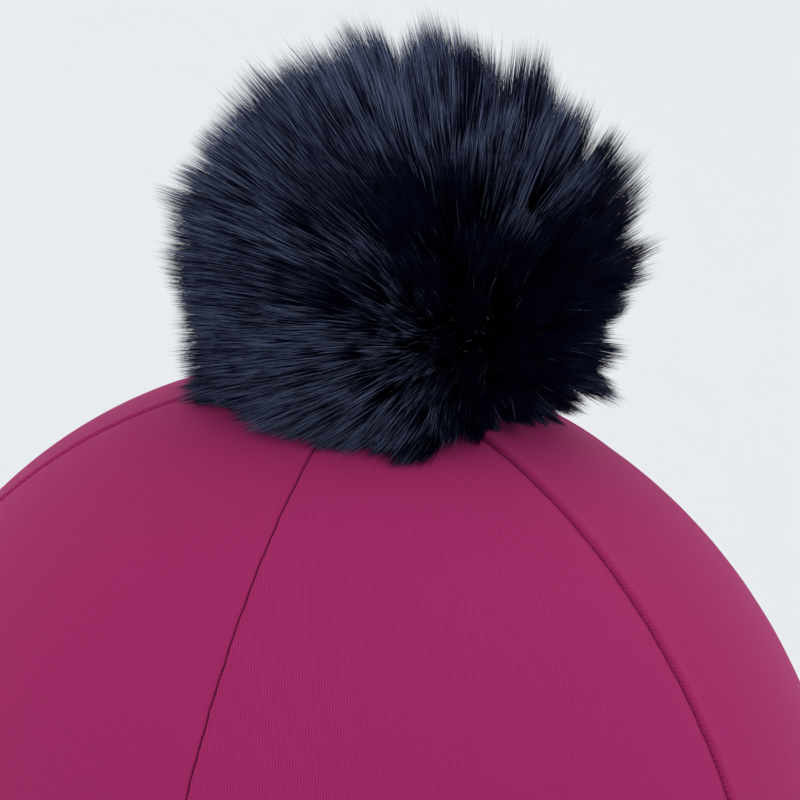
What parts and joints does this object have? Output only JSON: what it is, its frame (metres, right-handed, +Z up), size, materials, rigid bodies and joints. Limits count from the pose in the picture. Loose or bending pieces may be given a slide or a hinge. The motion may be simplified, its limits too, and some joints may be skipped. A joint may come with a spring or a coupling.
{
  "type": "jockey cap",
  "caption": "Panelled stretch-fabric jockey cap with a hem band, a short peak and a deep fur pompom, open underneath for the head.",
  "frame": {"origin": "centre of the cap's outline from above, on the surface that its hem rests on", "axes": "+Z up through the pompom, -Y towards the peak, +X to the wearer's left"},
  "size_m": [0.2156, 0.3152, 0.2168],
  "materials": {
    "crown_knit": "satin-matte magenta stretch knit",
    "hem_knit": "satin-matte magenta stretch knit, folded over elastic",
    "peak_knit": "satin-matte magenta stretch knit over a stiff board",
    "button_cloth": "magenta cloth over a flat button",
    "pompom_fur": "deep navy faux fur with a soft sheen"
  },
  "bodies": {
    "root": {"panel_front": "crown_knit", "panel_side_right": "crown_knit", "panel_rear_right": "crown_knit", "panel_back": "crown_knit", "panel_rear_left": "crown_knit", "panel_side_left": "crown_knit", "hem_band": "hem_knit", "peak": "peak_knit", "crown_button": "button_cloth", "pompom": "pompom_fur"}
  },
  "joints": []
}
